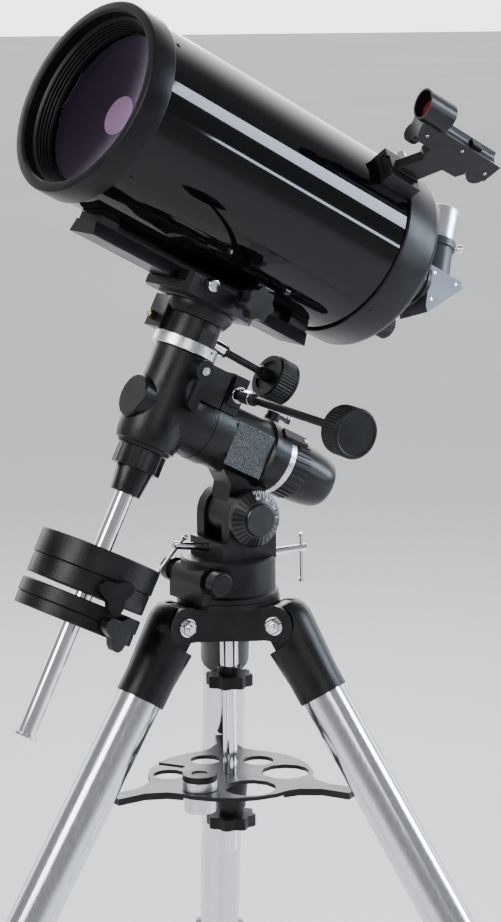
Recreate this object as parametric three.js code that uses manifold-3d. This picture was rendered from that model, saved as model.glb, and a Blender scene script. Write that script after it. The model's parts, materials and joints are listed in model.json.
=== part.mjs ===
// A Maksutov-Cassegrain telescope on a German equatorial mount and a three-legged steel stand.
//
// Millimetres, +Z up.  The aperture and the pole are towards -X, the latitude dial is towards -Y.
// The stand is drawn with heights counted from the top of the accessory tray and the azimuth
// axis at x = y = 0, then the whole object is put with the centre of its box over the origin and
// its feet on z = 0.
//
// The tilted head has its own frame, at the point where the polar and declination axes cross:
// +X runs down the polar axis, away from the pole, +Y is the stand's +Y and +Z runs up the
// declination axis to the tube.  The tube has a frame of its own where its axis meets the
// declination axis: -X points out of the aperture.

import * as THREE from 'three';
import { mergeVertices } from 'three/addons/utils/BufferGeometryUtils.js';
import Module from 'manifold-3d';

const wasm = await Module();
wasm.setup();

const radians = (degrees) => (degrees * Math.PI) / 180;
// How many flats stand in for a round: the tube, castings, knobs and small hardware.
const SEG = { huge: 40, large: 24, medium: 18, small: 12 };

// ---- driving dimensions ----------------------------------------------------------------

const GAP = 0.3;                 // clearance kept between pieces that touch
const TRAY_HEIGHT = 530;         // tray top above the floor, with the legs part way out
const LATITUDE = radians(27.3);  // tilt of the polar axis
const TUBE_TURN = radians(3.6);  // turn of the tube about the declination axis

const LEG = {
  count: 3,
  firstAzimuth: radians(180),    // the north leg lies along -X
  splay: radians(32),
  pivotRadius: 60.9,
  pivotHeight: 163.5,
  tubeRadius: 22.2,
  tubeWall: 1.4,
  innerRadius: 19,
  innerWall: 1.4,
  upperTop: -30,                 // distances along the leg from its pivot
  upperBottom: -560,
  innerTop: -330,
  innerBottom: -790,
  footTip: -820,
  sleeveRadius: 25,
  sleeveBottom: -82,
  sleeveTop: -22,
};
const HUB = {
  flatReach: 47.6,               // where the flat sides of the casting meet the ears
  bottom: 147,
  plateRadius: 51.4,
  plateBottom: 179,
  plateTop: 185,
  earRadius: 20,
  earInner: 14.6,
  earOuter: 21,
  earBottom: 147.5,
  boltRadius: 4,
};
const AZIMUTH = {                // the turning base and its two adjusting screws
  radius: 47.4,
  top: 226,
  screwX: -38,
  screwHeight: 208.5,
  barrelRadius: 12,
  barrelHalf: 26.8,
  pegRadius: 5,
};
const FORK = {
  pivotX: 10.3,
  pivotHeight: 266,
  cheekInner: 16.3,
  cheekOuter: 30,
  cheekHalf: 27.5,
  boltRadius: 7.6,
};
const CROSS = { x: -75.5, z: 381 };   // where the polar and declination axes cross
const TUBE = {
  height: 229.7,                 // tube axis above the polar axis
  front: -215,
  ringBack: -187.6,
  seam: 127,
  back: 173.7,
  ringRadius: 97,
  radius: 94,
  wall: 1.6,
  cellRadius: 96.6,
};

// ---- materials -------------------------------------------------------------------------

const material = (color, roughness, metalness) =>
  new THREE.MeshStandardMaterial({ color, roughness, metalness });
const satinBlack = () => material(0x17181b, 0.5, 0.2);
const glossBlack = () => material(0x050507, 0.08, 0.3);
const blackPlastic = () => material(0x141416, 0.55, 0.0);
const chrome = () => material(0xd9dce0, 0.12, 1.0);
const steelTube = () => material(0xb9bdc1, 0.25, 1.0);
const silver = () => material(0xc6c9cc, 0.35, 1.0);
const glass = () => material(0x2c1f38, 0.05, 0.0);

// ---- solids ----------------------------------------------------------------------------

// Turns a closed three.js geometry into a solid, whichever way its faces were wound.
function solid(geometry) {
  const bare = geometry.clone();
  bare.deleteAttribute('normal');
  bare.deleteAttribute('uv');
  const merged = mergeVertices(bare, 1e-4);
  const vertProperties = new Float32Array(merged.attributes.position.array);
  const triangles = [];
  const index = merged.index.array;
  for (let i = 0; i < index.length; i += 3) {
    const [a, b, c] = [index[i], index[i + 1], index[i + 2]];
    if (a !== b && b !== c && c !== a) triangles.push(a, b, c);
  }
  const build = (list) => new wasm.Manifold(
    new wasm.Mesh({ numProp: 3, vertProperties, triVerts: new Uint32Array(list) }));
  const result = build(triangles);
  return result.volume() < 0 ? build(triangles.toReversed()) : result;
}

const join = (first, ...rest) => rest.reduce((sum, part) => sum.add(part), first);
const cut = (first, ...rest) => rest.reduce((left, part) => left.subtract(part), first);
const move = (shape, x, y, z) => shape.transform(new THREE.Matrix4().makeTranslation(x, y, z).elements);
const turnX = (shape, angle) => shape.transform(new THREE.Matrix4().makeRotationX(angle).elements);
const turnY = (shape, angle) => shape.transform(new THREE.Matrix4().makeRotationY(angle).elements);
const turnZ = (shape, angle) => shape.transform(new THREE.Matrix4().makeRotationZ(angle).elements);
const alongX = (shape) => turnY(shape, Math.PI / 2);   // local +Z becomes +X
const alongY = (shape) => turnX(shape, -Math.PI / 2);  // local +Z becomes +Y

// A turned piece about Z.  The outline is a list of [radius, z] that starts and ends on the axis,
// or a closed ring of points when nothing is on the axis.
function turned(outline, segments = SEG.medium) {
  const onAxis = outline[0][0] === 0;
  const points = (onAxis ? outline : [...outline, outline[0]]).map(([r, z]) => new THREE.Vector2(r, z));
  return turnX(solid(new THREE.LatheGeometry(points, segments)), Math.PI / 2);
}
const rod = (radius, from, to, segments = SEG.medium) =>
  turned([[0, from], [radius, from], [radius, to], [0, to]], segments);
const pipe = (outer, inner, from, to, segments = SEG.medium) =>
  turned([[inner, from], [outer, from], [outer, to], [inner, to]], segments);

function block(x0, x1, y0, y1, z0, z1) {
  const geometry = new THREE.BoxGeometry(x1 - x0, y1 - y0, z1 - z0);
  return move(solid(geometry), (x0 + x1) / 2, (y0 + y1) / 2, (z0 + z1) / 2);
}

// A flat plate from an outline of [x, y] points, or a THREE.Shape, between two heights.
function plate(outline, from, to, curveSegments = 16) {
  const shape = outline instanceof THREE.Shape
    ? outline
    : new THREE.Shape(outline.map(([x, y]) => new THREE.Vector2(x, y)));
  const geometry = new THREE.ExtrudeGeometry(shape, { depth: to - from, bevelEnabled: false, curveSegments });
  return move(solid(geometry), 0, 0, from);
}
// The same, drawn in the x-z plane and given a thickness along Y.
const sidePlate = (outline, from, to) => turnX(plate(outline, -to, -from), Math.PI / 2);

// A round outline with a wave round its rim: lobes for a star knob, ribs for a milled one.
function wavyOutline(radius, depth, waves, pointsPerWave) {
  const steps = waves * pointsPerWave;
  return Array.from({ length: steps }, (_, i) => {
    const angle = (i / steps) * Math.PI * 2;
    const r = radius - depth * (0.5 - 0.5 * Math.cos(waves * angle));
    return [r * Math.cos(angle), r * Math.sin(angle)];
  });
}
const starKnob = (radius, depth, lobes, from, to) => plate(wavyOutline(radius, depth, lobes, 5), from, to);

// ---- the scene -------------------------------------------------------------------------

const telescope = new THREE.Group();
const stand = new THREE.Group();
telescope.add(stand);

function add(group, name, shape, finish) {
  const { vertProperties, triVerts } = shape.getMesh();
  const geometry = new THREE.BufferGeometry();
  geometry.setAttribute('position', new THREE.BufferAttribute(new Float32Array(vertProperties), 3));
  geometry.setIndex(new THREE.BufferAttribute(new Uint32Array(triVerts), 1));
  geometry.computeVertexNormals();
  const mesh = new THREE.Mesh(geometry, finish);
  mesh.name = name;
  group.add(mesh);
}

// ---- stand: hub, rod and tray ----------------------------------------------------------

function hubEar(side) {
  const inner = side > 0 ? HUB.earInner : -HUB.earOuter;
  const outer = side > 0 ? HUB.earOuter : -HUB.earInner;
  const eye = move(alongY(rod(HUB.earRadius, inner, outer, SEG.medium)), LEG.pivotRadius, 0, LEG.pivotHeight);
  const arm = block(30, LEG.pivotRadius, inner, outer, HUB.earBottom, HUB.plateBottom + 1);
  const below = block(0, 100, -40, 40, HUB.earBottom - 30, HUB.earBottom);
  return cut(join(eye, arm), below);
}

function buildHub() {
  const lip = HUB.earOuter;
  const corner = legAzimuths.flatMap((azimuth) => [-lip, lip].map((across) => [
    HUB.flatReach * Math.cos(azimuth) - across * Math.sin(azimuth),
    HUB.flatReach * Math.sin(azimuth) + across * Math.cos(azimuth)]));
  const casting = plate(corner, HUB.bottom, HUB.plateBottom + 1);
  const disc = rod(HUB.plateRadius, HUB.plateBottom, HUB.plateTop, SEG.large);
  const ears = legAzimuths.flatMap((azimuth) => [-1, 1].map((side) => turnZ(hubEar(side), azimuth)));
  const tongueRoom = legAzimuths.map((azimuth) => turnZ(join(
    block(LEG.pivotRadius - 20, 100, -HUB.earInner, HUB.earInner, HUB.bottom - 5, HUB.plateBottom),
    block(LEG.pivotRadius - 20, 100, -HUB.earInner, HUB.earInner, HUB.bottom - 5, HUB.plateTop + 5)
      .intersect(move(alongY(rod(20.4, -30, 30, SEG.medium)), LEG.pivotRadius, 0, LEG.pivotHeight))), azimuth));
  const pins = legAzimuths.map((azimuth) => turnZ(
    move(alongY(rod(HUB.boltRadius, -HUB.earOuter + 1, HUB.earOuter - 1, 12)), LEG.pivotRadius, 0, LEG.pivotHeight),
    azimuth));
  const heads = legAzimuths.map((azimuth) => turnZ(move(join(
    alongY(rod(8, HUB.earOuter - 1, HUB.earOuter + 5.5, 6)),
    alongY(rod(8, -HUB.earOuter - 5.5, -HUB.earOuter + 1, 6)),
    alongY(rod(HUB.boltRadius, HUB.earOuter, HUB.earOuter + 9, 12))), LEG.pivotRadius, 0, LEG.pivotHeight), azimuth));
  const peg = move(rod(AZIMUTH.pegRadius, HUB.plateTop - 1, AZIMUTH.screwHeight + 5, SEG.small), AZIMUTH.screwX, 0, 0);
  add(stand, 'tripod_hub', join(cut(join(casting, disc, ...ears), ...tongueRoom), ...pins, ...heads, peg),
    satinBlack());
}

function buildRodAndKnobs() {
  const thick = 9;
  const thin = 7;
  const stub = 6.2;
  add(stand, 'spreader_rod', turned([
    [0, -80.7], [stub, -80.7], [stub, -62], [thin, -62], [thin, 88],
    [thick, 88], [thick, HUB.bottom - GAP], [0, HUB.bottom - GAP]], SEG.small), chrome());

  const bore = (radius, from, to) => rod(radius + GAP, from, to, SEG.small);
  const lockKnob = join(starKnob(24, 4.5, 8, 92, 104), rod(12, 103.5, 112, SEG.small));
  add(stand, 'mount_lock_knob', cut(lockKnob, bore(thick, 80, 120)), blackPlastic());
  const trayKnob = join(starKnob(25.5, 4.5, 8, -54, -42), rod(12.5, -42.5, -35.3, SEG.small));
  add(stand, 'tray_knob', cut(trayKnob, bore(thin, -70, -30)), blackPlastic());
}

const TRAY = { radius: 83.5, thickness: 4, armTip: 136.3, armBottom: -7 };
const trayHoles = [              // radius of the hole, distance out and direction of its centre
  { radius: 26, out: 53.8, azimuth: radians(-101.4) },
  { radius: 24.5, out: 55.5, azimuth: radians(-30.2) },
  { radius: 15.8, out: 51, azimuth: radians(23.3) },
  { radius: 15.8, out: 53.6, azimuth: radians(86) },
  { radius: 16.2, out: 62, azimuth: radians(149.5) },
  { radius: 16.6, out: 60, azimuth: radians(-153) },
];
const spareHole = trayHoles[5];

function trayArm() {
  const outline = [
    [60, -40], [76, -30], [86, -18], [106, -9], [TRAY.armTip, -10],
    [TRAY.armTip, 10], [106, 9], [86, 18], [76, 30], [60, 40]];
  const rounded = rod(TRAY.radius - 2, -20, 20, SEG.large);
  return cut(plate(outline, TRAY.armBottom, 0), rounded);
}

function buildTray() {
  const disc = turned([
    [0, -34.7], [15, -34.7], [17, -12], [17, -TRAY.thickness], [TRAY.radius, -TRAY.thickness],
    [TRAY.radius, 0], [0, 0]], SEG.large);
  const arms = legAzimuths.map((azimuth) => turnZ(trayArm(), azimuth));
  const holes = trayHoles.map(({ radius, out, azimuth }) =>
    turnZ(move(rod(radius, -30, 10, SEG.small), out, 0, 0), azimuth));
  const slot = turnZ(block(52, 100, -4, 4, -30, 10), radians(122));
  const bore = rod(7 + GAP, -50, 10, SEG.small);
  add(stand, 'accessory_tray', cut(join(disc, ...arms), bore, slot, ...holes), satinBlack());
}

function buildSpareEyepiece() {
  const spot = new THREE.Group();
  spot.position.set(spareHole.out * Math.cos(spareHole.azimuth), spareHole.out * Math.sin(spareHole.azimuth), 0);
  stand.add(spot);
  const barrel = 15.9;
  add(spot, 'spare_eyepiece', turned([
    [0, -20], [barrel - 1.2, -20], [barrel - 1.2, -22], [barrel, -22], [barrel, GAP], [17.4, GAP],
    [17.4, 16], [8, 16], [7, 14.5], [0, 14.5]], SEG.small), silver());
}

// ---- stand: legs -----------------------------------------------------------------------

const legAzimuths = Array.from({ length: LEG.count }, (_, i) => LEG.firstAzimuth + (i * Math.PI * 2) / LEG.count);
const legNames = ['north', 'near', 'far'];

function legTop() {
  const eyeRadius = 19;
  const tongueHalf = HUB.earInner - GAP;
  const recessRadius = HUB.earRadius + 1.4;
  const hood = turned([
    [0, -60], [LEG.sleeveRadius, -60], [28.5, -10], [28.8, -2], [27, 7], [22, 13], [0, 13]], SEG.large);
  const sleeve = rod(LEG.sleeveRadius, LEG.sleeveBottom, LEG.sleeveTop, SEG.large);
  const upperRoom = block(-60, 4, -40, 40, LEG.sleeveTop, 40);
  const tongue = join(
    alongY(rod(eyeRadius, -tongueHalf, tongueHalf, SEG.medium)),
    block(-eyeRadius + 3, 16, -tongueHalf, tongueHalf, LEG.sleeveTop - 1, 0));
  const recess = [-1, 1].map((side) => {
    const inner = side > 0 ? tongueHalf : -40;
    const outer = side > 0 ? 40 : -tongueHalf;
    return join(alongY(rod(recessRadius, inner, outer, SEG.medium)),
      block(-40, 0, inner, outer, LEG.sleeveTop, recessRadius));
  });
  const boltHole = alongY(rod(HUB.boltRadius + GAP, -30, 30, 12));
  const socket = rod(LEG.tubeRadius + GAP, LEG.sleeveBottom - 1, LEG.upperTop + GAP, SEG.large);
  return cut(join(cut(join(sleeve, hood), upperRoom, ...recess), tongue), boltHole, socket);
}

function upperTube() {
  const collarRadius = 28;
  const bottom = LEG.upperBottom - 18;
  const shell = turned([
    [LEG.tubeRadius - LEG.tubeWall, LEG.upperTop], [LEG.tubeRadius, LEG.upperTop], [LEG.tubeRadius, bottom + 55],
    [collarRadius, bottom + 50], [collarRadius, bottom], [LEG.innerRadius + GAP, bottom],
    [LEG.innerRadius + GAP, bottom + 18], [LEG.tubeRadius - LEG.tubeWall, bottom + 18]], SEG.medium);
  const boss = cut(alongX(rod(10, collarRadius - 4, collarRadius + 12, SEG.small)), rod(LEG.tubeRadius + 2, -20, 20));
  const screwWay = alongX(rod(4 + GAP, LEG.innerRadius - 2, collarRadius + 20, 12));
  return cut(join(shell, move(boss, 0, 0, bottom + 10)), move(screwWay, 0, 0, bottom + 10));
}

function buildLeg(name, azimuth) {
  const turn = new THREE.Group();
  turn.rotation.z = azimuth;
  stand.add(turn);
  const leg = new THREE.Group();
  leg.position.set(LEG.pivotRadius, 0, LEG.pivotHeight);
  leg.rotation.y = -LEG.splay;
  turn.add(leg);

  const clampBottom = LEG.upperBottom - 18;
  add(leg, `leg_top_${name}`, legTop(), satinBlack());
  add(leg, `leg_upper_tube_${name}`, upperTube(), steelTube());
  const knob = join(alongX(starKnob(17, 3.5, 5, 41, 55)), alongX(rod(4, LEG.innerRadius + 1.5, 42, 12)));
  add(leg, `leg_clamp_knob_${name}`, move(knob, 0, 0, clampBottom + 10), blackPlastic());

  const footRadius = 21.5;
  const inner = LEG.innerRadius - LEG.innerWall;
  const tubeAndFoot = turned([
    [0, LEG.footTip - 10], [8, LEG.footTip - 8], [16, LEG.footTip], [footRadius, LEG.footTip + 12],
    [footRadius, LEG.innerBottom + 24], [LEG.innerRadius, LEG.innerBottom + 24], [LEG.innerRadius, LEG.innerTop],
    [inner, LEG.innerTop], [inner, LEG.innerBottom + 10], [0, LEG.innerBottom + 10]], SEG.medium);
  const floor = LEG.pivotHeight + TRAY_HEIGHT;
  const ground = move(turnY(block(-80, 80, -80, 80, -80, 0), LEG.splay),
    -floor * Math.sin(LEG.splay), 0, -floor * Math.cos(LEG.splay));
  add(leg, `leg_inner_tube_${name}`, cut(tubeAndFoot, ground), steelTube());
}

// ---- azimuth base and latitude fork ----------------------------------------------------

const NORTH_BOLT = { x: -57, z: 242, tilt: radians(10.5), radius: 4, reach: 56.4 };
const SOUTH_BOLT = { x: 88, z: 221, radius: 4, reach: 66.6 };

// A screw with a sliding cross bar, drawn along +X from the tip at -reach to the head at 0.
function crossBarScrew(radius, reach, barShort, barLong) {
  const screw = alongX(turned([
    [0, -reach], [radius - 1, -reach], [radius, -reach + 1.5], [radius, 5], [radius - 1, 6], [0, 6]], 14));
  const bar = rod(1.7, -barLong, barShort, 8);
  const balls = [-barLong, barShort].map((z) => turned([
    [0, z - 3.2], [2.6, z - 1.9], [2.6, z + 1.9], [0, z + 3.2]], 8));
  return join(screw, bar, ...balls);
}

function northBoltShape() {
  const screw = turnX(crossBarScrew(NORTH_BOLT.radius, NORTH_BOLT.reach, 13, 41), radians(-43));
  return move(turnY(turnZ(screw, Math.PI), NORTH_BOLT.tilt), NORTH_BOLT.x, 0, NORTH_BOLT.z);
}

function buildAzimuthBase() {
  const { pivotX, pivotHeight, cheekInner, cheekOuter, cheekHalf } = FORK;
  const drum = turned([
    [0, HUB.plateTop + GAP], [AZIMUTH.radius + 3, HUB.plateTop + GAP], [AZIMUTH.radius + 3, 190],
    [AZIMUTH.radius, 192], [AZIMUTH.radius, AZIMUTH.top - 2], [AZIMUTH.radius - 2, AZIMUTH.top],
    [0, AZIMUTH.top]], SEG.large);
  const cheeks = [[-cheekOuter, -cheekInner], [cheekInner, cheekOuter]].map(([from, to]) => join(
    move(alongY(rod(cheekHalf, from, to, SEG.medium)), pivotX, 0, pivotHeight),
    block(pivotX - cheekHalf, pivotX + cheekHalf, from, to, AZIMUTH.top - 3, pivotHeight)));
  const northWall = block(-25, pivotX - cheekHalf + 2, -cheekOuter, cheekOuter, AZIMUTH.top - 3, 244);
  const southWall = block(pivotX + cheekHalf - 6, pivotX + cheekHalf, -cheekInner - 1, cheekInner + 1,
    AZIMUTH.top - 3, 233);
  const barrel = move(alongY(rod(AZIMUTH.barrelRadius, -AZIMUTH.barrelHalf, AZIMUTH.barrelHalf, SEG.small)),
    AZIMUTH.screwX, 0, AZIMUTH.screwHeight);
  const barrelFoot = block(AZIMUTH.screwX - AZIMUTH.barrelRadius, AZIMUTH.screwX + AZIMUTH.barrelRadius,
    -30, 30, HUB.plateTop + GAP, AZIMUTH.screwHeight);

  const tailRoom = block(pivotX - cheekHalf - 0.5, pivotX + cheekHalf - 6, -cheekInner, cheekInner, 205, 300);
  const pegRoom = block(AZIMUTH.screwX - 7, AZIMUTH.screwX + 7, -12, 12, HUB.plateTop - 5, AZIMUTH.screwHeight + 7);
  const screwWay = move(alongY(rod(3 + GAP, -60, 60, 16)), AZIMUTH.screwX, 0, AZIMUTH.screwHeight);
  const knobRooms = [[-60, -26.8], [26.8, 60]].map(([from, to]) =>
    move(alongY(rod(13.3, from, to, SEG.small)), AZIMUTH.screwX, 0, AZIMUTH.screwHeight));
  const pivotWay = move(alongY(rod(FORK.boltRadius + GAP, -60, 60)), pivotX, 0, pivotHeight);
  const northWay = move(turnY(alongX(rod(NORTH_BOLT.radius + 0.5, -80, 80, 16)), NORTH_BOLT.tilt),
    NORTH_BOLT.x, 0, NORTH_BOLT.z);
  const southWay = move(alongX(rod(SOUTH_BOLT.radius + 0.5, -70, 80, 16)), SOUTH_BOLT.x, 0, SOUTH_BOLT.z);
  add(stand, 'azimuth_fork', cut(join(drum, ...cheeks, northWall, southWall, barrel, barrelFoot),
    tailRoom, pegRoom, screwWay, ...knobRooms, pivotWay, northWay, southWay), satinBlack());
}

function azimuthScrew(side) {
  const knob = turned([
    [0, 5 + GAP], [3, 5 + GAP], [3, 31.4], [9, 31.4], [9, 36], [12.5, 37], [12.5, 48.5], [11, 50],
    [0, 50]], SEG.small);
  const pointed = side > 0 ? alongY(knob) : turnZ(alongY(knob), Math.PI);
  return move(pointed, AZIMUTH.screwX, 0, AZIMUTH.screwHeight);
}

function buildAdjusters() {
  add(stand, 'azimuth_screw_near', azimuthScrew(-1), blackPlastic());
  add(stand, 'azimuth_screw_far', azimuthScrew(1), blackPlastic());
  add(stand, 'latitude_screw_north', northBoltShape(), chrome());
  const south = crossBarScrew(SOUTH_BOLT.radius, SOUTH_BOLT.reach, 13, 33);
  add(stand, 'latitude_screw_south', move(south, SOUTH_BOLT.x, 0, SOUTH_BOLT.z), chrome());
}

// ---- head: polar housing ---------------------------------------------------------------

const head = new THREE.Group();
head.position.set(CROSS.x, 0, CROSS.z);
head.rotation.y = LATITUDE;
stand.add(head);

// The latitude pivot seen from the head's own frame.
const pivotFromCross = new THREE.Vector3(FORK.pivotX - CROSS.x, 0, FORK.pivotHeight - CROSS.z)
  .applyAxisAngle(new THREE.Vector3(0, 1, 0), -LATITUDE);
const RA = {
  seam: 46,                      // front of the housing; the turning casting ends GAP before it
  radius: 34.5,
  circleFrom: 142.5,
  circleTo: 150,
  coverTo: 212,
  wormX: 56,
  wormZ: 40,
};

function buildPolarHousing() {
  const barrel = alongX(turned([
    [20, RA.seam], [RA.radius + 0.5, RA.seam], [RA.radius + 0.5, 63], [RA.radius - 1, 64], [RA.radius - 1, 119],
    [RA.radius + 2, 121], [RA.radius + 2, 128], [RA.radius, 129], [RA.radius, RA.circleFrom - GAP],
    [20, RA.circleFrom - GAP]], SEG.large));
  const panelRoom = block(71, 119, -60, -30.4, -40, 40);
  const wormBox = cut(
    join(block(RA.seam, 66, -30, 26, 20, 58), block(RA.seam + 2, 64, -33, 30, 28, 56)),
    alongX(rod(RA.radius - 1, 0, 100)));
  const wormMouth = move(alongY(rod(8, -36, -20, SEG.small)), RA.wormX, 0, RA.wormZ);
  const wormWay = move(alongY(rod(5, -60, -20, SEG.small)), RA.wormX, 0, RA.wormZ);
  const inside = alongX(rod(20, 0, 200));

  const { x, z } = pivotFromCross;
  const lugHalf = FORK.cheekInner - GAP;
  const eye = move(alongY(rod(25, -lugHalf, lugHalf)), x, 0, z);
  const web = sidePlate([
    [x - 24, z + 4], [x - 29, z + 22], [x - 44, -30], [x - 44, -25], [x + 12, -25], [x + 12, -34],
    [x + 22, z + 12]], -lugHalf, lugHalf);
  const tailHalf = 10;
  const tail = move(turnY(block(-tailHalf, tailHalf, -12, 12, -53, -10), -LATITUDE), x, 0, z);
  const pivotWay = move(alongY(rod(FORK.boltRadius + GAP, -60, 60)), x, 0, z);
  const leverSeat = move(rod(8, 30, 41, SEG.small), 134, 12, 0);
  const pointer = turnX(block(130, 160, -5.5, 5.5, 33.2, 38), radians(40));
  add(head, 'polar_housing', cut(
    join(cut(barrel, panelRoom), wormBox, wormMouth, eye, web, tail, leverSeat, pointer),
    wormWay, pivotWay, inside), satinBlack());

  add(head, 'latitude_dial', move(turnZ(alongY(turned([
    [0, -37], [14, -37], [14, -FORK.cheekOuter - GAP], [FORK.boltRadius, -FORK.cheekOuter - GAP],
    [FORK.boltRadius, FORK.cheekOuter + GAP], [28.4, FORK.cheekOuter + GAP], [28.4, 35.5], [16.5, 43], [15.5, 46],
    [0, 46]], SEG.large)), Math.PI), x, 0, z), satinBlack());
}

function buildPolarTrim() {
  add(head, 'ra_setting_circle', alongX(pipe(32.8, 19, RA.circleFrom, RA.circleTo, SEG.large)), silver());
  add(head, 'polar_scope_cover', alongX(turned([
    [0, RA.circleTo + GAP], [31, RA.circleTo + GAP], [30.8, 172], [28.2, 196], [25.6, 208], [20, RA.coverTo],
    [0, RA.coverTo]], SEG.large)), blackPlastic());
  const lever = join(
    rod(7, 41 + GAP, 46, SEG.small),
    plate([[-5, -3], [-5, 3], [4, 3.4], [26, 2.4], [26, -2.4], [4, -3.4]], 42, 46),
    move(rod(3, 41.5, 52, 12), 24, 0, 0));
  add(head, 'ra_clutch_lever', move(turnZ(lever, radians(15)), 134, 12, 0), blackPlastic());
}

// A slow-motion control along +X: a short spindle, a stiff shaft and a milled hand knob.
const CONTROL = { knobLength: 25, knobRadius: 24 };
function slowMotionControl(shaftTo) {
  const shaft = turned([
    [0, -14], [3.6, -14], [3.6, 0], [4.6, 1], [4.6, 3], [6.4, 4], [6.4, 24], [4, 26], [4, shaftTo - 12],
    [7, shaftTo - 10], [7, shaftTo + 3], [0, shaftTo + 3]], SEG.small);
  const knob = plate(wavyOutline(CONTROL.knobRadius, 1.2, 20, 3), shaftTo, shaftTo + CONTROL.knobLength);
  return alongX(join(shaft, knob));
}

function buildPolarControl() {
  const control = turnY(slowMotionControl(174), radians(3));
  add(head, 'ra_control', move(turnZ(control, -Math.PI / 2), RA.wormX, -40, RA.wormZ), blackPlastic());
}

// ---- head: turning casting, counterweight shaft and weights ----------------------------

const SHAFT = { radius: 9.3, end: -338.5 };
function buildDeclinationHousing() {
  const barrel = turned([
    [0, -44], [26, -44], [27, -41], [29.5, -40], [31.5, -33], [32, -22], [31, -5], [29, 18],
    [27.5, 30], [27.5, 57], [0, 57]], SEG.large);
  const branchEnd = RA.seam - GAP;
  const branch = alongX(turned([[0, 0], [31, 0], [34, 22], [34.5, branchEnd], [0, branchEnd]], SEG.large));
  const pad = cut(block(16, branchEnd - 2, -31, 4, 20, 56), alongX(rod(30, 0, 60)));
  const leverBoss = move(alongY(rod(10, -33, -20, SEG.small)), 7, 0, 46);
  const capSeat = alongX(rod(22 + GAP, -60, -19.7, SEG.medium));
  const shaftWay = rod(SHAFT.radius + GAP, -60, -20, SEG.small);
  const leverWay = move(alongY(rod(3 + GAP, -60, -24, 12)), 7, 0, 46);
  add(head, 'declination_housing', cut(join(barrel, branch, pad, leverBoss), capSeat, shaftWay, leverWay),
    satinBlack());
  add(head, 'polar_end_cap', alongX(turned([
    [0, -35], [20.5, -35], [22, -33.5], [22, -20 - GAP], [0, -20 - GAP]], SEG.medium)), blackPlastic());
  const lever = join(
    alongY(rod(10.5, -41, -33 - GAP, SEG.small)),
    sidePlate([[-6, -4], [-3, -12], [-4, -37], [4, -41], [8, -38], [6, -12], [8, -4]], -40, -34),
    alongY(rod(3, -35, -24.5, 12)));
  add(head, 'dec_clutch_lever', move(lever, 7, 0, 46), blackPlastic());
}

function buildCounterweights() {
  add(head, 'counterweight_shaft', turned([
    [0, SHAFT.end - 4], [11, SHAFT.end - 4], [12, SHAFT.end - 3], [12, SHAFT.end], [SHAFT.radius, SHAFT.end],
    [SHAFT.radius, -20 - GAP], [0, -20 - GAP]], SEG.small), chrome());
  const way = rod(SHAFT.radius + GAP, -400, 0, SEG.small);
  const nut = join(
    plate(wavyOutline(24.5, 2.6, 10, 4), -64.6, -45),
    turned([[0, -90], [15, -90], [18.3, -64.8], [18.3, -60], [0, -60]]));
  add(head, 'shaft_lock_nut', cut(nut, way), blackPlastic());

  const weights = [
    { name: 'upper', top: -148.5, bottom: -193.5, seam: -173.4, knobZ: -185, turn: radians(-7.5) },
    { name: 'lower', top: -199, bottom: -225.5, seam: -213.5, knobZ: -216, turn: radians(7.5) },
  ];
  const radius = 60;
  for (const { name, top, bottom, seam, knobZ, turn } of weights) {
    const body = turned([
      [0, bottom], [radius - 1, bottom], [radius, bottom + 1], [radius, seam - 0.8], [radius - 1, seam],
      [radius + 1, seam + 0.8], [radius + 1, top - 1], [radius, top], [0, top]], SEG.large);
    const pocket = move(alongY(rod(10, -70, -52, SEG.small)), 0, 0, knobZ);
    const screwWay = move(alongY(rod(4 + GAP, -70, -SHAFT.radius, 12)), 0, 0, knobZ);
    add(head, `counterweight_${name}`, turnZ(cut(body, way, pocket, screwWay), turn), satinBlack());
    const lobes = turnY(alongY(plate(wavyOutline(20, 9.5, 3, 8), -72, -62)), radians(-50));
    const knob = join(lobes, alongY(rod(7.5, -63, -53, SEG.small)), alongY(rod(4, -60, -SHAFT.radius - 1, 12)));
    add(head, `counterweight_knob_${name}`, turnZ(move(knob, 0, 0, knobZ), turn), blackPlastic());
  }
}

// ---- head: declination axis ------------------------------------------------------------

// The saddle and its screws follow the tube's turn about the declination axis.
const cradle = new THREE.Group();
cradle.rotation.z = TUBE_TURN;
head.add(cradle);

const DEC = { circleFrom: 57.8, circleTo: 69.5, wormY: 24, wormZ: 81 };
const SADDLE = {
  base: 106, top: 115.2, front: -56, back: 44, near: -40, far: 36, jawInner: 21.4, jawTop: 126.5, screwZ: 122,
};

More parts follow.
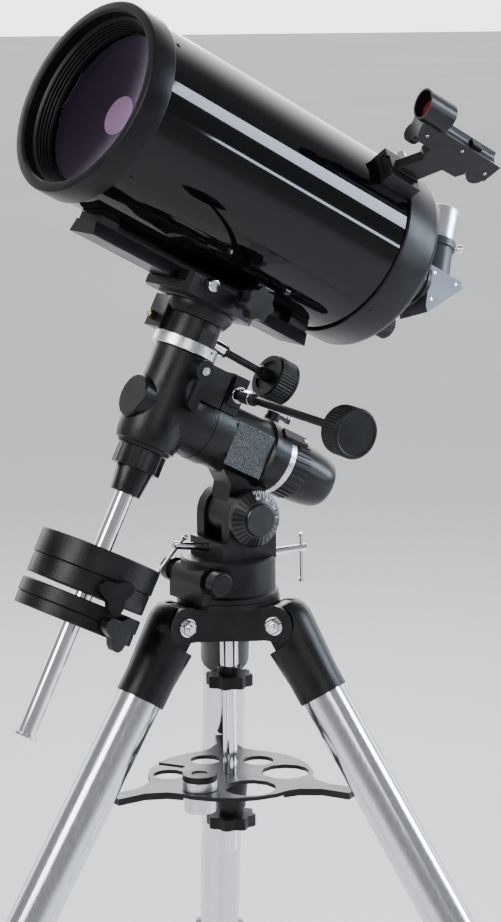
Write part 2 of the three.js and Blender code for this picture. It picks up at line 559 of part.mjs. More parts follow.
function buildDeclinationHead() {
  add(head, 'dec_setting_circle',
    pipe(32.5, 19.5, DEC.circleFrom, DEC.circleTo - GAP, SEG.large), silver());

  const neck = turned([
    [0, DEC.circleTo], [27.5, DEC.circleTo], [26.5, 91], [29.5, 92], [34, 100], [34, 104], [0, 104]], SEG.large);
  const core = rod(19, 57.3, DEC.circleTo + 1);
  const wormBox = block(-31, 34, 8, 36, 71, 104);
  const pointer = block(-7, 9, -29.5, -20, DEC.circleTo, 84);
  const wormWay = move(alongX(rod(5, 20, 60, SEG.small)), 0, DEC.wormY, DEC.wormZ);
  const wormEnd = move(alongX(rod(4.5, -37, -30, SEG.small)), 0, DEC.wormY, DEC.wormZ);
  add(head, 'dec_neck', cut(join(neck, core, wormBox, wormEnd, pointer), wormWay), satinBlack());

  const { base, top, front, back, near, far, jawInner, jawTop, screwZ } = SADDLE;
  const foot = join(
    turned([[0, 104 + GAP], [36, 104 + GAP], [41, 108], [41, top], [0, top]], SEG.large),
    block(front, back, near, far, base, top));
  const jaws = [[near, -jawInner], [jawInner, far]].map(([from, to]) =>
    block(front + 2, back - 4, from, to, top - 1, jawTop));
  const ways = [-29, 8].map((x) => move(alongY(rod(3.2 + GAP, -60, -jawInner + 1, 12)), x, 0, screwZ));
  const corner = (x, y, reachX, reachY) => plate([[x, y], [x + reachX, y], [x, y + reachY]], 100, 130);
  const corners = [
    corner(front - 1, near - 1, 8, 8), corner(front - 1, far + 1, 14, -14),
    corner(back + 1, near - 1, -16, 16), corner(back + 1, far + 1, -16, -16)];
  add(cradle, 'dovetail_saddle', cut(join(foot, ...jaws), ...ways, ...corners), satinBlack());

  const clampKnob = join(
    alongY(starKnob(17.5, 3.6, 7, -77, -65)), alongY(rod(9, -66, -46, SEG.small)),
    alongY(rod(3.2, -47, -jawInner - 0.5, 12)));
  add(cradle, 'saddle_clamp_knob', move(clampKnob, 8, 0, screwZ), blackPlastic());
  const safety = alongY(turned([
    [0, -49], [5.5, -49], [6.6, -47.5], [6.6, near - 1], [3.2, near - 1], [3.2, -jawInner - 0.5],
    [0, -jawInner - 0.5]], SEG.small));
  add(cradle, 'saddle_safety_screw', move(safety, -29, 0, screwZ), chrome());
  add(head, 'dec_control', move(turnY(slowMotionControl(80), radians(2.4)), 37, DEC.wormY, DEC.wormZ),
    blackPlastic());
}

// ---- optical tube ----------------------------------------------------------------------

const tube = new THREE.Group();
tube.position.set(0, 0, TUBE.height);
tube.rotation.z = TUBE_TURN;
head.add(tube);

const LENS = { radius: 78, edge: -186, curve: 240, thickness: 11 };
// Depth of the meniscus face behind its rim, at a distance r from the axis.
const dish = (r, curve) => Math.sqrt(curve ** 2 - r ** 2) - Math.sqrt(curve ** 2 - LENS.radius ** 2);

function meniscusOutline() {
  const steps = 4;
  const face = Array.from({ length: steps + 1 }, (_, i) => {
    const r = (LENS.radius * i) / steps;
    return [r, LENS.edge + dish(r, LENS.curve)];
  });
  const back = face.map(([r, x]) => [r, x + LENS.thickness]).reverse();
  return [...face, ...back];
}
const lensCentreBack = LENS.edge + dish(0, LENS.curve) + LENS.thickness;

function buildOptics() {
  const bore = TUBE.radius - TUBE.wall;
  add(tube, 'front_cell', alongX(turned([
    [87, TUBE.front], [95, TUBE.front], [TUBE.ringRadius, TUBE.front + 2], [TUBE.ringRadius, TUBE.ringBack],
    [bore - GAP, TUBE.ringBack], [bore - GAP, -168], [LENS.radius + GAP, -168],
    [LENS.radius + GAP, LENS.edge - GAP], [75.5, LENS.edge - GAP], [75.5, -190], [81, -191], [81, -201],
    [86, -202]], SEG.huge)), satinBlack());
  add(tube, 'meniscus_lens', alongX(join(turned(meniscusOutline(), SEG.large), turned([
    [21, lensCentreBack - 1], [24, lensCentreBack - 1], [21.5, lensCentreBack + 40],
    [19.5, lensCentreBack + 40]], SEG.small))), glass());
  add(tube, 'optical_tube',
    alongX(pipe(TUBE.radius, bore, TUBE.ringBack + GAP, TUBE.seam - GAP, SEG.huge)), glossBlack());
  add(tube, 'rear_cell', alongX(turned([
    [20.5, TUBE.back + 8], [44, TUBE.back + 8], [46, TUBE.back + 6], [46, TUBE.back], [88, TUBE.back],
    [94, TUBE.back - 3], [TUBE.cellRadius, TUBE.back - 9], [TUBE.cellRadius, TUBE.seam], [bore - GAP, TUBE.seam],
    [bore - GAP, 112], [86, 112], [86, 160], [20, 160], [20, -30], [18.4, -30], [18.4, 166], [20.5, 168]],
  SEG.huge)), satinBlack());
  add(tube, 'primary_mirror', alongX(turned([
    [20.6, 124], [79, 115], [79, 140], [20.6, 140]], SEG.large)), silver());
}

// The back end: port adapter, mirror diagonal, eyepiece and focus knob.
const BACK = { adapterTo: 238, crossX: 262.5, turn: radians(20), holderTop: 58, eyepieceTop: 94.5 };

function buildRearFittings() {
  const start = TUBE.back + 8 + GAP;
  add(tube, 'visual_back', alongX(turned([
    [20.5, start], [42, start], [42, start + 7], [37, start + 9], [37, 212], [25, 228], [25, BACK.adapterTo],
    [16.2, BACK.adapterTo], [16.2, 200], [20.5, 196]], SEG.medium)), satinBlack());
  add(tube, 'focus_knob', move(alongX(join(
    rod(13, start + 2, start + 24, SEG.small), rod(5, TUBE.back + GAP, start + 3, 12))), 0, -24, -58), blackPlastic());

  const spin = new THREE.Group();
  spin.rotation.x = -BACK.turn;  // the eyepiece leans away from the dial side
  tube.add(spin);
  const cx = BACK.crossX;
  const half = 19;
  const shell = sidePlate([
    [cx - 22.5, 18.5], [cx - 22.5, -27], [cx - 19, -34], [cx + 26.5, 11], [cx + 24, 18.5]], -half, half);
  const nose = alongX(rod(15.8, 208, cx - 22));
  const holder = move(join(rod(17.2, 17, 51), rod(19.5, 50, BACK.holderTop)), cx, 0, 0);
  const lightIn = alongX(rod(13, 200, cx - 12, SEG.small));
  const eyeSocket = move(rod(15.9 + GAP, 20, 80), cx, 0, 0);
  const lightUp = move(rod(13, -6, 21, SEG.small), cx, 0, 0);
  const crossing = alongX(rod(12, cx - 14, cx + 4, SEG.small));
  const screwTurn = radians(-43);
  const screwWay = turnZ(alongX(rod(2.3 + GAP, 12, 40, 10)), screwTurn);
  add(spin, 'star_diagonal', cut(join(shell, nose, holder), lightIn, lightUp, crossing, eyeSocket,
    move(screwWay, cx, 0, 54)), blackPlastic());
  const thumbscrew = turnZ(alongX(join(rod(2.3, 16.5, 22, 10), rod(4.2, 20.5, 27, 14))), screwTurn);
  add(spin, 'diagonal_thumbscrew', move(thumbscrew, cx, 0, 54), chrome());
  add(spin, 'eyepiece', move(turned([
    [0, 30], [13.6, 30], [13.6, 24], [15.9, 24], [15.9, BACK.holderTop + GAP], [17, BACK.holderTop + GAP],
    [19, BACK.eyepieceTop - 2], [17.5, BACK.eyepieceTop], [12, BACK.eyepieceTop],
    [9, BACK.eyepieceTop - 4], [0, BACK.eyepieceTop - 4]]), cx, 0, 0), silver());
}

const BAR = { front: -160, back: 120, bottom: -114.2, top: -101, half: 20.8 };
function buildDovetail() {
  const bar = turnZ(turnX(plate([
    [-BAR.half, BAR.bottom], [BAR.half, BAR.bottom], [16.5, BAR.top], [-16.5, BAR.top]], BAR.front, BAR.back),
  Math.PI / 2), Math.PI / 2);
  const blocks = [[BAR.front + 2, BAR.front + 26], [BAR.back - 26, BAR.back - 2]].map(([from, to]) =>
    block(from, to, -16, 16, BAR.top - 1, -80));
  const web = block(BAR.front + 10, BAR.back - 10, -7, 7, BAR.top - 1, -80);
  const room = alongX(rod(TUBE.radius + GAP, -187, 130, SEG.huge));
  add(tube, 'dovetail_bar', cut(join(bar, web, ...blocks), room), satinBlack());
}

// The reflex finder stands on a shoe on the near upper side of the tube.
const FINDER = { turn: radians(45) };
function buildFinder() {
  const spot = new THREE.Group();
  spot.rotation.x = FINDER.turn;
  tube.add(spot);
  const tubeRoom = alongX(rod(TUBE.radius + GAP, 0, 200, SEG.huge));
  const shoe = cut(block(86, 127, -18, 18, 86, 108.5), tubeRoom,
    block(80, 130, -11.5, 11.5, 100, 105.8), block(80, 130, -8, 8, 104, 114));
  const screwWay = alongY(rod(2.4 + GAP, 10, 40, 10));
  add(spot, 'finder_shoe', cut(shoe, move(screwWay, 118, 0, 103)), blackPlastic());
  add(spot, 'finder_shoe_screw', move(alongY(join(
    rod(2.4, 11.9, 24, 10), rod(5, 22, 33, 14))), 118, 0, 103), chrome());
  const foot = join(block(87, 126, -11.2, 11.2, 100.3, 105.5), block(88, 126, -7.7, 7.7, 105, 110));
  const stalk = sidePlate([
    [96, 109], [108, 132.5], [104, 138], [104, 149.7], [154, 149.7], [158, 143], [153, 134.6], [135, 134],
    [124, 109]], -6, 6);
  add(spot, 'finder_bracket', join(foot, stalk), blackPlastic());

  const body = join(
    sidePlate([[70, 165], [78, 150], [177, 150], [177, 173], [98, 173], [98, 177], [66, 177]], -11, 11),
    move(alongX(rod(10, 76, 84, SEG.small)), 0, 0, 149));
  const sightTube = move(alongX(rod(15.4, 50, 91)), 0, 0, 181.5);
  const sightWay = move(alongX(rod(13.4, 0, 200)), 0, 0, 181.5);
  const slant = sidePlate([[30, 140], [68, 140], [53, 205], [30, 205]], -30, 30);
  const recess = block(112, 170, -7, 7, 170, 180);
  const wheelRoom = move(alongY(rod(10.8, -8.3, 8.3, SEG.small)), 168, 0, 149);
  add(spot, 'finder_body', cut(join(body, cut(sightTube, slant)), sightWay, recess, wheelRoom), blackPlastic());
  add(spot, 'finder_adjust_wheel', move(alongY(rod(10.2, -8, 8, SEG.small)), 168, 0, 149), blackPlastic());
}

// ---- assembly --------------------------------------------------------------------------

buildHub();
buildRodAndKnobs();
buildTray();
buildSpareEyepiece();
legAzimuths.forEach((azimuth, i) => buildLeg(legNames[i], azimuth));
buildAzimuthBase();
buildAdjusters();
buildPolarHousing();
buildPolarTrim();
buildPolarControl();
buildDeclinationHousing();
buildCounterweights();
buildDeclinationHead();
buildOptics();
buildRearFittings();
buildDovetail();
buildFinder();

telescope.updateMatrixWorld(true);
const extent = new THREE.Box3().setFromObject(telescope, true);
const middle = extent.getCenter(new THREE.Vector3());
stand.position.set(-middle.x, -middle.y, -extent.min.z);
telescope.updateMatrixWorld(true);

export default telescope;
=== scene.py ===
"""Looks for a maksutov telescope on an equatorial mount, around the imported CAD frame."""
import json
import math

import bmesh
import bpy
from mathutils import Matrix, Vector


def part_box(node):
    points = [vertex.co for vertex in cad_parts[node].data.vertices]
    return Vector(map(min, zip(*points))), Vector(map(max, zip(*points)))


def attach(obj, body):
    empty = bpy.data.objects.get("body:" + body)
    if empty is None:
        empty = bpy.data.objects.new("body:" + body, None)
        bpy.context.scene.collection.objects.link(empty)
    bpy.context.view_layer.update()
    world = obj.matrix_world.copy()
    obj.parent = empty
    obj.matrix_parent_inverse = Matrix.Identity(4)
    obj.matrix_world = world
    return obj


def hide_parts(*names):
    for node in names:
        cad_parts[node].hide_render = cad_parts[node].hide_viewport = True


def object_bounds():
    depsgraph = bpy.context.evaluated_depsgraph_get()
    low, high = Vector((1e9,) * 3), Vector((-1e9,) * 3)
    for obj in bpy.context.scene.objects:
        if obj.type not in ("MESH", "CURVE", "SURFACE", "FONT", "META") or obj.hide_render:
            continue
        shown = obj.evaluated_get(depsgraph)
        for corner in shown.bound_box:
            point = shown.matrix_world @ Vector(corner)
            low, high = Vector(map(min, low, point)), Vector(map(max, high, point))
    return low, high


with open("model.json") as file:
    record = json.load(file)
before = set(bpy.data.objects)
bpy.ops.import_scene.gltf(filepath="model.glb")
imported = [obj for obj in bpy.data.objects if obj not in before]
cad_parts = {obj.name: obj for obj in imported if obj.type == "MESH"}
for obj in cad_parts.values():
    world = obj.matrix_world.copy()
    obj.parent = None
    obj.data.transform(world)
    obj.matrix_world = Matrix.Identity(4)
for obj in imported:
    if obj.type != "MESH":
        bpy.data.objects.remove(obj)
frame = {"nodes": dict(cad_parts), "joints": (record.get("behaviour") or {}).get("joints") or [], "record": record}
cad_low, cad_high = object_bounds()

MM = 0.001
FINE = 96            # steps round the large turned pieces
ROUND = 64           # steps round the middle-sized ones
SMALL = 32           # steps round the small ones
EDGE_ANGLE = math.radians(32)   # sharper edges than this stay sharp and get a bevel
EDGE_WIDTH = 0.45 * MM
CHAMFER = 0.6        # on a screw head
RECESS = 1.2         # depth of the socket in a screw head
ON_AXIS = 1e-6       # a profile point with a smaller radius than this lies on the axis
MERGE_WITHIN = 1e-6  # metres between corners of a CAD mesh that are one corner
FLAT_WITHIN = math.radians(0.5)   # CAD faces that lean less than this are one face

JOINTS = {joint["name"]: joint for joint in frame["joints"]}
BODY_OF = {
    node: body
    for body, nodes in frame["record"]["behaviour"]["bodies"].items()
    for node in nodes
}

# Heights and lengths shared with the CAD, in millimetres.
TUBE_HEIGHT = 229.7       # tube axis above the crossing of the two mount axes
TUBE_FRONT = -215         # front of the ring, along the tube's axis from the middle of the mount
TUBE_BACK = 173.7         # flat back of the rear cell
DIAGONAL_TURN = -20       # degrees round the tube
FINDER_TURN = 45
LEG_NAMES = ("north", "near", "far")


# ---- places: a matrix that takes millimetres in a piece's own axes to the row frame ------

def place(origin, x_axis, z_axis):
    """The origin is in metres; the Z axis is squared up to the X axis."""
    x = Vector(x_axis).normalized()
    z = (Vector(z_axis) - x * x.dot(Vector(z_axis))).normalized()
    y = z.cross(x)
    turn = Matrix((x, y, z)).transposed().to_4x4()
    return Matrix.Translation(Vector(origin)) @ turn @ Matrix.Scale(MM, 4)


def turned(degrees, axis):
    return Matrix.Rotation(math.radians(degrees), 4, axis)


def shift(x, y, z):
    return Matrix.Translation((x, y, z))


def joint_axis(name):
    return Vector(JOINTS[name]["axis"])


def joint_point(name):
    return Vector(JOINTS[name]["pos_m"])


CROSSING = joint_point("right_ascension")
HEAD = place(CROSSING, -joint_axis("right_ascension"), joint_axis("declination"))
CRADLE = place(CROSSING, joint_axis("tube_balance_slide"), joint_axis("declination"))
TUBE = CRADLE @ Matrix.Translation((0, 0, TUBE_HEIGHT))
STAND = place(
    (joint_point("azimuth_turn").x, joint_point("azimuth_turn").y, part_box("accessory_tray")[1].z),
    (1, 0, 0), (0, 0, 1))
SPIN = TUBE @ turned(DIAGONAL_TURN, "X")     # diagonal and eyepiece
SHOE = TUBE @ turned(FINDER_TURN, "X")       # finder


def leg_place(name):
    """A leg's place has its origin at the fold's pin and Z up along the leg."""
    hinge = JOINTS["leg_fold_" + name]
    down = joint_axis("leg_extend_" + name)
    across = Vector(hinge["axis"])
    return place(hinge["pos_m"], across.cross(-down), -down)


# ---- shapes -----------------------------------------------------------------------------

ABOUT_X = turned(90, "Y")           # +Z to +X
ABOUT_Y = turned(-90, "X")          # +Z to +Y
ABOUT_MINUS_Y = turned(90, "X")     # +Z to -Y


def ring_of(count, start=0.0):
    """Evenly spaced angles, in radians."""
    return [start + 2 * math.pi * i / count for i in range(count)]


def milled(radius, depth, teeth, points):
    """A round outline with shallow flutes."""
    return [
        ((radius - depth * (0.5 - 0.5 * math.cos(teeth * a))) * math.cos(a),
         (radius - depth * (0.5 - 0.5 * math.cos(teeth * a))) * math.sin(a))
        for a in ring_of(points)]


def new_object(name, data):
    thing = bpy.data.objects.new(name, data)
    bpy.context.scene.collection.objects.link(thing)
    return thing


class Shape:
    """Collects closed shells, in millimetres, and turns them into one piece."""

    def __init__(self):
        self.mesh = bmesh.new()

    def lathe(self, profile, steps=ROUND, about=Matrix.Identity(4)):
        """Profile points are (radius, height) about +Z; it closes on itself or on the axis."""
        rings = []
        for radius, height in profile:
            if radius < ON_AXIS:
                rings.append([self.mesh.verts.new(about @ Vector((0, 0, height)))])
                continue
            ring = []
            for angle in ring_of(steps):
                spot = Vector((radius * math.cos(angle), radius * math.sin(angle), height))
                ring.append(self.mesh.verts.new(about @ spot))
            rings.append(ring)
        on_axis = len(rings[0]) == 1 and len(rings[-1]) == 1
        pairs = list(zip(rings, rings[1:]))
        if not on_axis:
            pairs.append((rings[-1], rings[0]))
        for lower, upper in pairs:
            for i in range(steps):
                k = (i + 1) % steps
                corners = [lower[i % len(lower)], lower[k % len(lower)],
                           upper[k % len(upper)], upper[i % len(upper)]]
                face = list(dict.fromkeys(corners))
                if len(face) > 2:
                    self.mesh.faces.new(face)
        return self

    def prism(self, outline, low, high, about=Matrix.Identity(4)):
        """The outline is in X and Y, and runs from low to high along Z."""
        floor = [self.mesh.verts.new(about @ Vector((x, y, low))) for x, y in outline]
        roof = [self.mesh.verts.new(about @ Vector((x, y, high))) for x, y in outline]
        count = len(outline)
        for i in range(count):
            k = (i + 1) % count
            self.mesh.faces.new((floor[i], floor[k], roof[k], roof[i]))
        self.mesh.faces.new(list(reversed(floor)))
        self.mesh.faces.new(roof)
        return self

    def rod(self, radius, low, high, steps=SMALL, about=Matrix.Identity(4)):
        return self.lathe([(0, low), (radius, low), (radius, high), (0, high)], steps, about)

    def cut_below(self, point, normal):
        """Removes what lies on the far side of a plane and closes the cut."""
        geometry = self.mesh.verts[:] + self.mesh.edges[:] + self.mesh.faces[:]
        cut = bmesh.ops.bisect_plane(
            self.mesh, geom=geometry, plane_co=point, plane_no=normal, clear_outer=True)
        rim = [edge for edge in cut["geom_cut"] if isinstance(edge, bmesh.types.BMEdge)]
        bmesh.ops.contextual_create(self.mesh, geom=rim)
        return self

    def piece(self, name, where, material, body, replaces=(), bevel=EDGE_WIDTH, own_axes=False):
        """own_axes keeps the piece's own origin and axes, for a pattern that turns about them."""
        bmesh.ops.recalc_face_normals(self.mesh, faces=self.mesh.faces[:])
        inside = Matrix.Scale(MM, 4) if own_axes else where
        bmesh.ops.transform(self.mesh, matrix=inside, verts=self.mesh.verts[:])
        data = bpy.data.meshes.new(name)
        self.mesh.to_mesh(data)
        self.mesh.free()
        thing = new_object(name, data)
        if own_axes:
            thing.matrix_world = where @ Matrix.Scale(1 / MM, 4)
        dress(thing, material, bevel)
        if replaces:
            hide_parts(*replaces)
        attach(thing, body)
        return thing


def dress(thing, material, bevel=EDGE_WIDTH):
    """Gives a piece its material, smooth faces and softened edges."""
    thing.data.materials.clear()
    thing.data.materials.append(material)
    for face in thing.data.polygons:
        face.use_smooth = True
    thing.data.set_sharp_from_angle(angle=EDGE_ANGLE)
    if bevel:
        edge = thing.modifiers.new("edges", "BEVEL")
        edge.width = bevel
        edge.segments = 2
        edge.limit_method = "ANGLE"
        edge.angle_limit = EDGE_ANGLE
        edge.harden_normals = True


def screw_heads(name, where, spots, axis, radius, low, high, material, body):
    """Round heads with a chamfer and a recess, one at each spot."""
    shape = Shape()
    for x, y, z in spots:
        about = shift(x, y, z) @ axis
        shape.lathe([(0, low), (radius, low), (radius, high - CHAMFER), (radius - CHAMFER, high),
                     (radius * 0.5, high), (radius * 0.5, high - RECESS), (0, high - RECESS)],
                    SMALL, about)
    return shape.piece(name, where, material, body, bevel=0)


# ---- materials --------------------------------------------------------------------------

def shader_of(material):
    return next(n for n in material.node_tree.nodes if n.type == "BSDF_PRINCIPLED")


def new_material(name):
    material = bpy.data.materials.new(name)
    material.use_nodes = True
    return material, material.node_tree, shader_of(material)


def noise(tree, scale, detail=3.0, stretch=(1, 1, 1)):
    """A 0 to 1 pattern in the piece's own space."""
    coords = tree.nodes.new("ShaderNodeTexCoord")
    mapping = tree.nodes.new("ShaderNodeMapping")
    mapping.inputs["Scale"].default_value = stretch
    texture = tree.nodes.new("ShaderNodeTexNoise")
    texture.inputs["Scale"].default_value = scale
    texture.inputs["Detail"].default_value = detail
    tree.links.new(coords.outputs["Object"], mapping.inputs["Vector"])
    tree.links.new(mapping.outputs["Vector"], texture.inputs["Vector"])
    return texture.outputs["Fac"]


NOISE_SPAN = (0.3, 0.7)      # nearly all of a noise pattern lies between these


def spread(tree, value, low, high):
    """Maps a 0 to 1 pattern to a range, as a number or a colour."""
    if hasattr(low, "__len__"):
        ramp = tree.nodes.new("ShaderNodeValToRGB")
        ramp.color_ramp.elements[0].position = NOISE_SPAN[0]
        ramp.color_ramp.elements[1].position = NOISE_SPAN[1]
        ramp.color_ramp.elements[0].color = (*low, 1)
        ramp.color_ramp.elements[1].color = (*high, 1)
        tree.links.new(value, ramp.inputs["Fac"])
        return ramp.outputs["Color"]
    span = tree.nodes.new("ShaderNodeMapRange")
    span.inputs["From Min"].default_value = NOISE_SPAN[0]
    span.inputs["From Max"].default_value = NOISE_SPAN[1]
    span.inputs["To Min"].default_value = low
    span.inputs["To Max"].default_value = high
    tree.links.new(value, span.inputs["Value"])
    return span.outputs["Result"]


def bump(tree, shader, height, strength, distance):
    node = tree.nodes.new("ShaderNodeBump")
    node.inputs["Strength"].default_value = strength
    node.inputs["Distance"].default_value = distance
    tree.links.new(height, node.inputs["Height"])
    tree.links.new(node.outputs["Normal"], shader.inputs["Normal"])


def finish_material(name, dark, light, rough, metallic=0.0, coat=0.0, grain=None, speckle=40,
                    stretch=(1, 1, 1), gleam=0.5):
    """A surface whose colour and roughness wander a little, with an optional fine grain."""
    material, tree, shader = new_material(name)
    shader.inputs["Metallic"].default_value = metallic
    shader.inputs["Coat Weight"].default_value = coat
    shader.inputs["Specular IOR Level"].default_value = gleam
    shader.inputs["Coat Roughness"].default_value = 0.03
    pattern = noise(tree, speckle, 4.0, stretch)
    tree.links.new(spread(tree, pattern, dark, light), shader.inputs["Base Color"])
    tree.links.new(spread(tree, pattern, *rough), shader.inputs["Roughness"])
    if grain:
        scale, strength, distance = grain
        bump(tree, shader, noise(tree, scale, 2.0, stretch), strength, distance)
    return material


def maths(tree, operation, first, second=None):
    """A Math node on two numbers or sockets."""
    node = tree.nodes.new("ShaderNodeMath")
    node.operation = operation
    for socket, value in zip(node.inputs, (first, second)):
        if value is None:
            continue
        if isinstance(value, (int, float)):
            socket.default_value = value
        else:
            tree.links.new(value, socket)
    return node.outputs[0]


def ticks_material(name, ink, axes, counts, base, sector=None):
    """Ticks round an axis: axes name the two coordinates across it and the one along it.
    Each count is (how many, share of the pitch inked, lowest, highest) in millimetres along the
    axis; sector is the lowest and highest angle that has ticks."""
    dark, light, rough, metallic = base
    material = finish_material(name, dark, light, rough, metallic, speckle=60)
    tree = material.node_tree
    shader = shader_of(material)
    under = shader.inputs["Base Color"].links[0].from_socket
    coords = tree.nodes.new("ShaderNodeTexCoord")
    split = tree.nodes.new("ShaderNodeSeparateXYZ")
    tree.links.new(coords.outputs["Object"], split.inputs["Vector"])
    across, up, along = (split.outputs[axis] for axis in axes)
    turn = maths(tree, "ARCTAN2", across, up)
    marks = None
    for count, width, low, high in counts:
        part = maths(tree, "FRACT", maths(tree, "MULTIPLY", turn, count / (2 * math.pi)))
        on = maths(tree, "LESS_THAN", part, width)
        above = maths(tree, "GREATER_THAN", along, low * MM)
        below = maths(tree, "LESS_THAN", along, high * MM)
        on = maths(tree, "MULTIPLY", on, maths(tree, "MULTIPLY", above, below))
        marks = on if marks is None else maths(tree, "MAXIMUM", marks, on)
    if sector:
        after = maths(tree, "GREATER_THAN", turn, sector[0])
        before = maths(tree, "LESS_THAN", turn, sector[1])
        marks = maths(tree, "MULTIPLY", marks, maths(tree, "MULTIPLY", after, before))
    mix = tree.nodes.new("ShaderNodeMix")
    mix.data_type = "RGBA"
    tree.links.new(marks, mix.inputs["Factor"])
    tree.links.new(under, mix.inputs["A"])
    mix.inputs["B"].default_value = (*ink, 1)
    tree.links.new(mix.outputs["Result"], shader.inputs["Base Color"])
    metal = maths(tree, "MULTIPLY", maths(tree, "SUBTRACT", 1.0, marks), metallic)
    tree.links.new(metal, shader.inputs["Metallic"])
    return material


SATIN = finish_material(
    "satin_black", (0.003, 0.003, 0.0035), (0.007, 0.007, 0.008), (0.30, 0.40),
    grain=(900, 0.25, 0.00025), gleam=0.2)
CASTING = finish_material(
    "cast_black", (0.003, 0.003, 0.0035), (0.009, 0.009, 0.010), (0.30, 0.42),
    grain=(650, 0.4, 0.0005), gleam=0.24)
GLOSS = finish_material(
    "gloss_black", (0.0015, 0.0016, 0.002), (0.0025, 0.0026, 0.003), (0.03, 0.06),
    speckle=8, gleam=0.24)
PLASTIC = finish_material(
    "black_plastic", (0.003, 0.003, 0.0035), (0.008, 0.008, 0.009), (0.26, 0.38),
    grain=(1400, 0.2, 0.00015), gleam=0.24)
RUBBER = finish_material(
    "knob_black", (0.004, 0.004, 0.004), (0.009, 0.009, 0.009), (0.36, 0.5),
    grain=(1600, 0.3, 0.0002), gleam=0.22)
CHROME = finish_material(
    "chrome", (0.74, 0.76, 0.79), (0.84, 0.86, 0.88), (0.05, 0.1), metallic=1.0, speckle=20)
STEEL = finish_material(
    "polished_steel", (0.60, 0.62, 0.65), (0.68, 0.70, 0.73), (0.14, 0.2), metallic=1.0,
    speckle=60, stretch=(6, 6, 0.4))
SILVER = finish_material(
    "satin_silver", (0.62, 0.64, 0.67), (0.74, 0.76, 0.78), (0.26, 0.36), metallic=1.0,
    grain=(2200, 0.1, 0.0001))
BLUE_GREY = finish_material(
    "satin_blue_grey", (0.045, 0.052, 0.062), (0.07, 0.078, 0.09), (0.34, 0.44), metallic=0.15,
    gleam=0.3)
HAMMERED = finish_material(
    "hammered_grey", (0.012, 0.013, 0.013), (0.10, 0.105, 0.11), (0.22, 0.5), metallic=0.5,
    grain=(420, 0.9, 0.0008), speckle=700)
WHITE = finish_material("white_paint", (0.72, 0.72, 0.70), (0.82, 0.82, 0.80), (0.4, 0.5))
MATT = finish_material("inside_black", (0.004, 0.004, 0.004), (0.008, 0.008, 0.008), (0.7, 0.9))
RED_GLASS = finish_material(
    "red_glass", (0.10, 0.012, 0.012), (0.16, 0.02, 0.018), (0.03, 0.06), coat=1.0, speckle=25)
BRASS = finish_material(
    "brass", (0.55, 0.38, 0.16), (0.7, 0.5, 0.24), (0.2, 0.3), metallic=1.0)
MIRROR = finish_material(
    "mirror_coat", (0.86, 0.87, 0.89), (0.92, 0.93, 0.94), (0.10, 0.16), metallic=1.0, speckle=12)
SPOT = finish_material(
    "silvered_spot", (0.90, 0.90, 0.92), (0.96, 0.96, 0.97), (0.3, 0.4), speckle=12)
DIM_MIRROR = finish_material(
    "mirror_in_shade", (0.03, 0.02, 0.035), (0.05, 0.035, 0.055), (0.03, 0.06), metallic=1.0,
    speckle=12)


def lens_material():
    material, tree, shader = new_material("coated_lens")
    pattern = noise(tree, 14, 2.0)
    tint = spread(tree, pattern, (0.36, 0.18, 0.36), (0.44, 0.25, 0.45))
    tree.links.new(tint, shader.inputs["Base Color"])
    tree.links.new(spread(tree, pattern, 0.002, 0.006), shader.inputs["Roughness"])
    shader.inputs["Transmission Weight"].default_value = 1.0
    shader.inputs["IOR"].default_value = 1.52
    shader.inputs["Specular IOR Level"].default_value = 0.12
    shader.inputs["Specular Tint"].default_value = (0.62, 0.4, 0.9, 1)
    return material


LENS = lens_material()
SILVER_BASE = ((0.60, 0.62, 0.65), (0.74, 0.76, 0.78), (0.24, 0.34), 1.0)
BLACK_BASE = ((0.004, 0.004, 0.005), (0.009, 0.009, 0.010), (0.28, 0.4), 0.0)
DEC_TICKS = ticks_material(
    "dec_circle_ticks", (0.01, 0.01, 0.01), (0, 1, 2),
    [(180, 0.16, 65, 70), (36, 0.05, 62.5, 70)], SILVER_BASE)
RA_TICKS = ticks_material(
    "ra_circle_ticks", (0.01, 0.01, 0.01), (1, 2, 0),
    [(144, 0.16, 142, 145), (24, 0.04, 142, 147)], SILVER_BASE)
DIAL_TICKS = ticks_material(
    "latitude_dial_ticks", (0.8, 0.8, 0.78), (1, 0, 2),
    [(72, 0.2, 35.5, 37.4), (36, 0.12, 35.5, 39.4)], BLACK_BASE,
    (math.radians(-8), math.radians(98)))

# ---- every CAD node gets a finer copy with softened edges, unless it is built anew below --

MATERIAL_OF_SLOT = {
    "satin_black": CASTING, "weight_black": CASTING, "gloss_black": GLOSS,
    "black_plastic": PLASTIC, "chrome": CHROME, "steel_tube": STEEL, "silver": SILVER,
    "mirror_coat": MIRROR, "lens_glass": LENS}
SLOT_OF = {part["node"]: part["material_slot"] for part in frame["record"]["subparts"]}
BUILT_ANEW = {
    "front_cell", "optical_tube", "rear_cell", "meniscus_lens", "visual_back", "eyepiece",
    "spare_eyepiece", "polar_scope_cover", "ra_setting_circle", "dec_setting_circle",
    "counterweight_shaft", "focus_knob", "ra_control", "dec_control", "latitude_dial",
    *("leg_inner_tube_" + name for name in LEG_NAMES)}
SPECIAL = {      # nodes that don't take the usual material of their slot
    "primary_mirror": DIM_MIRROR, "star_diagonal": BLUE_GREY, "ra_clutch_lever": PLASTIC,
    "dovetail_bar": SATIN, "mount_lock_knob": RUBBER, "tray_knob": RUBBER}


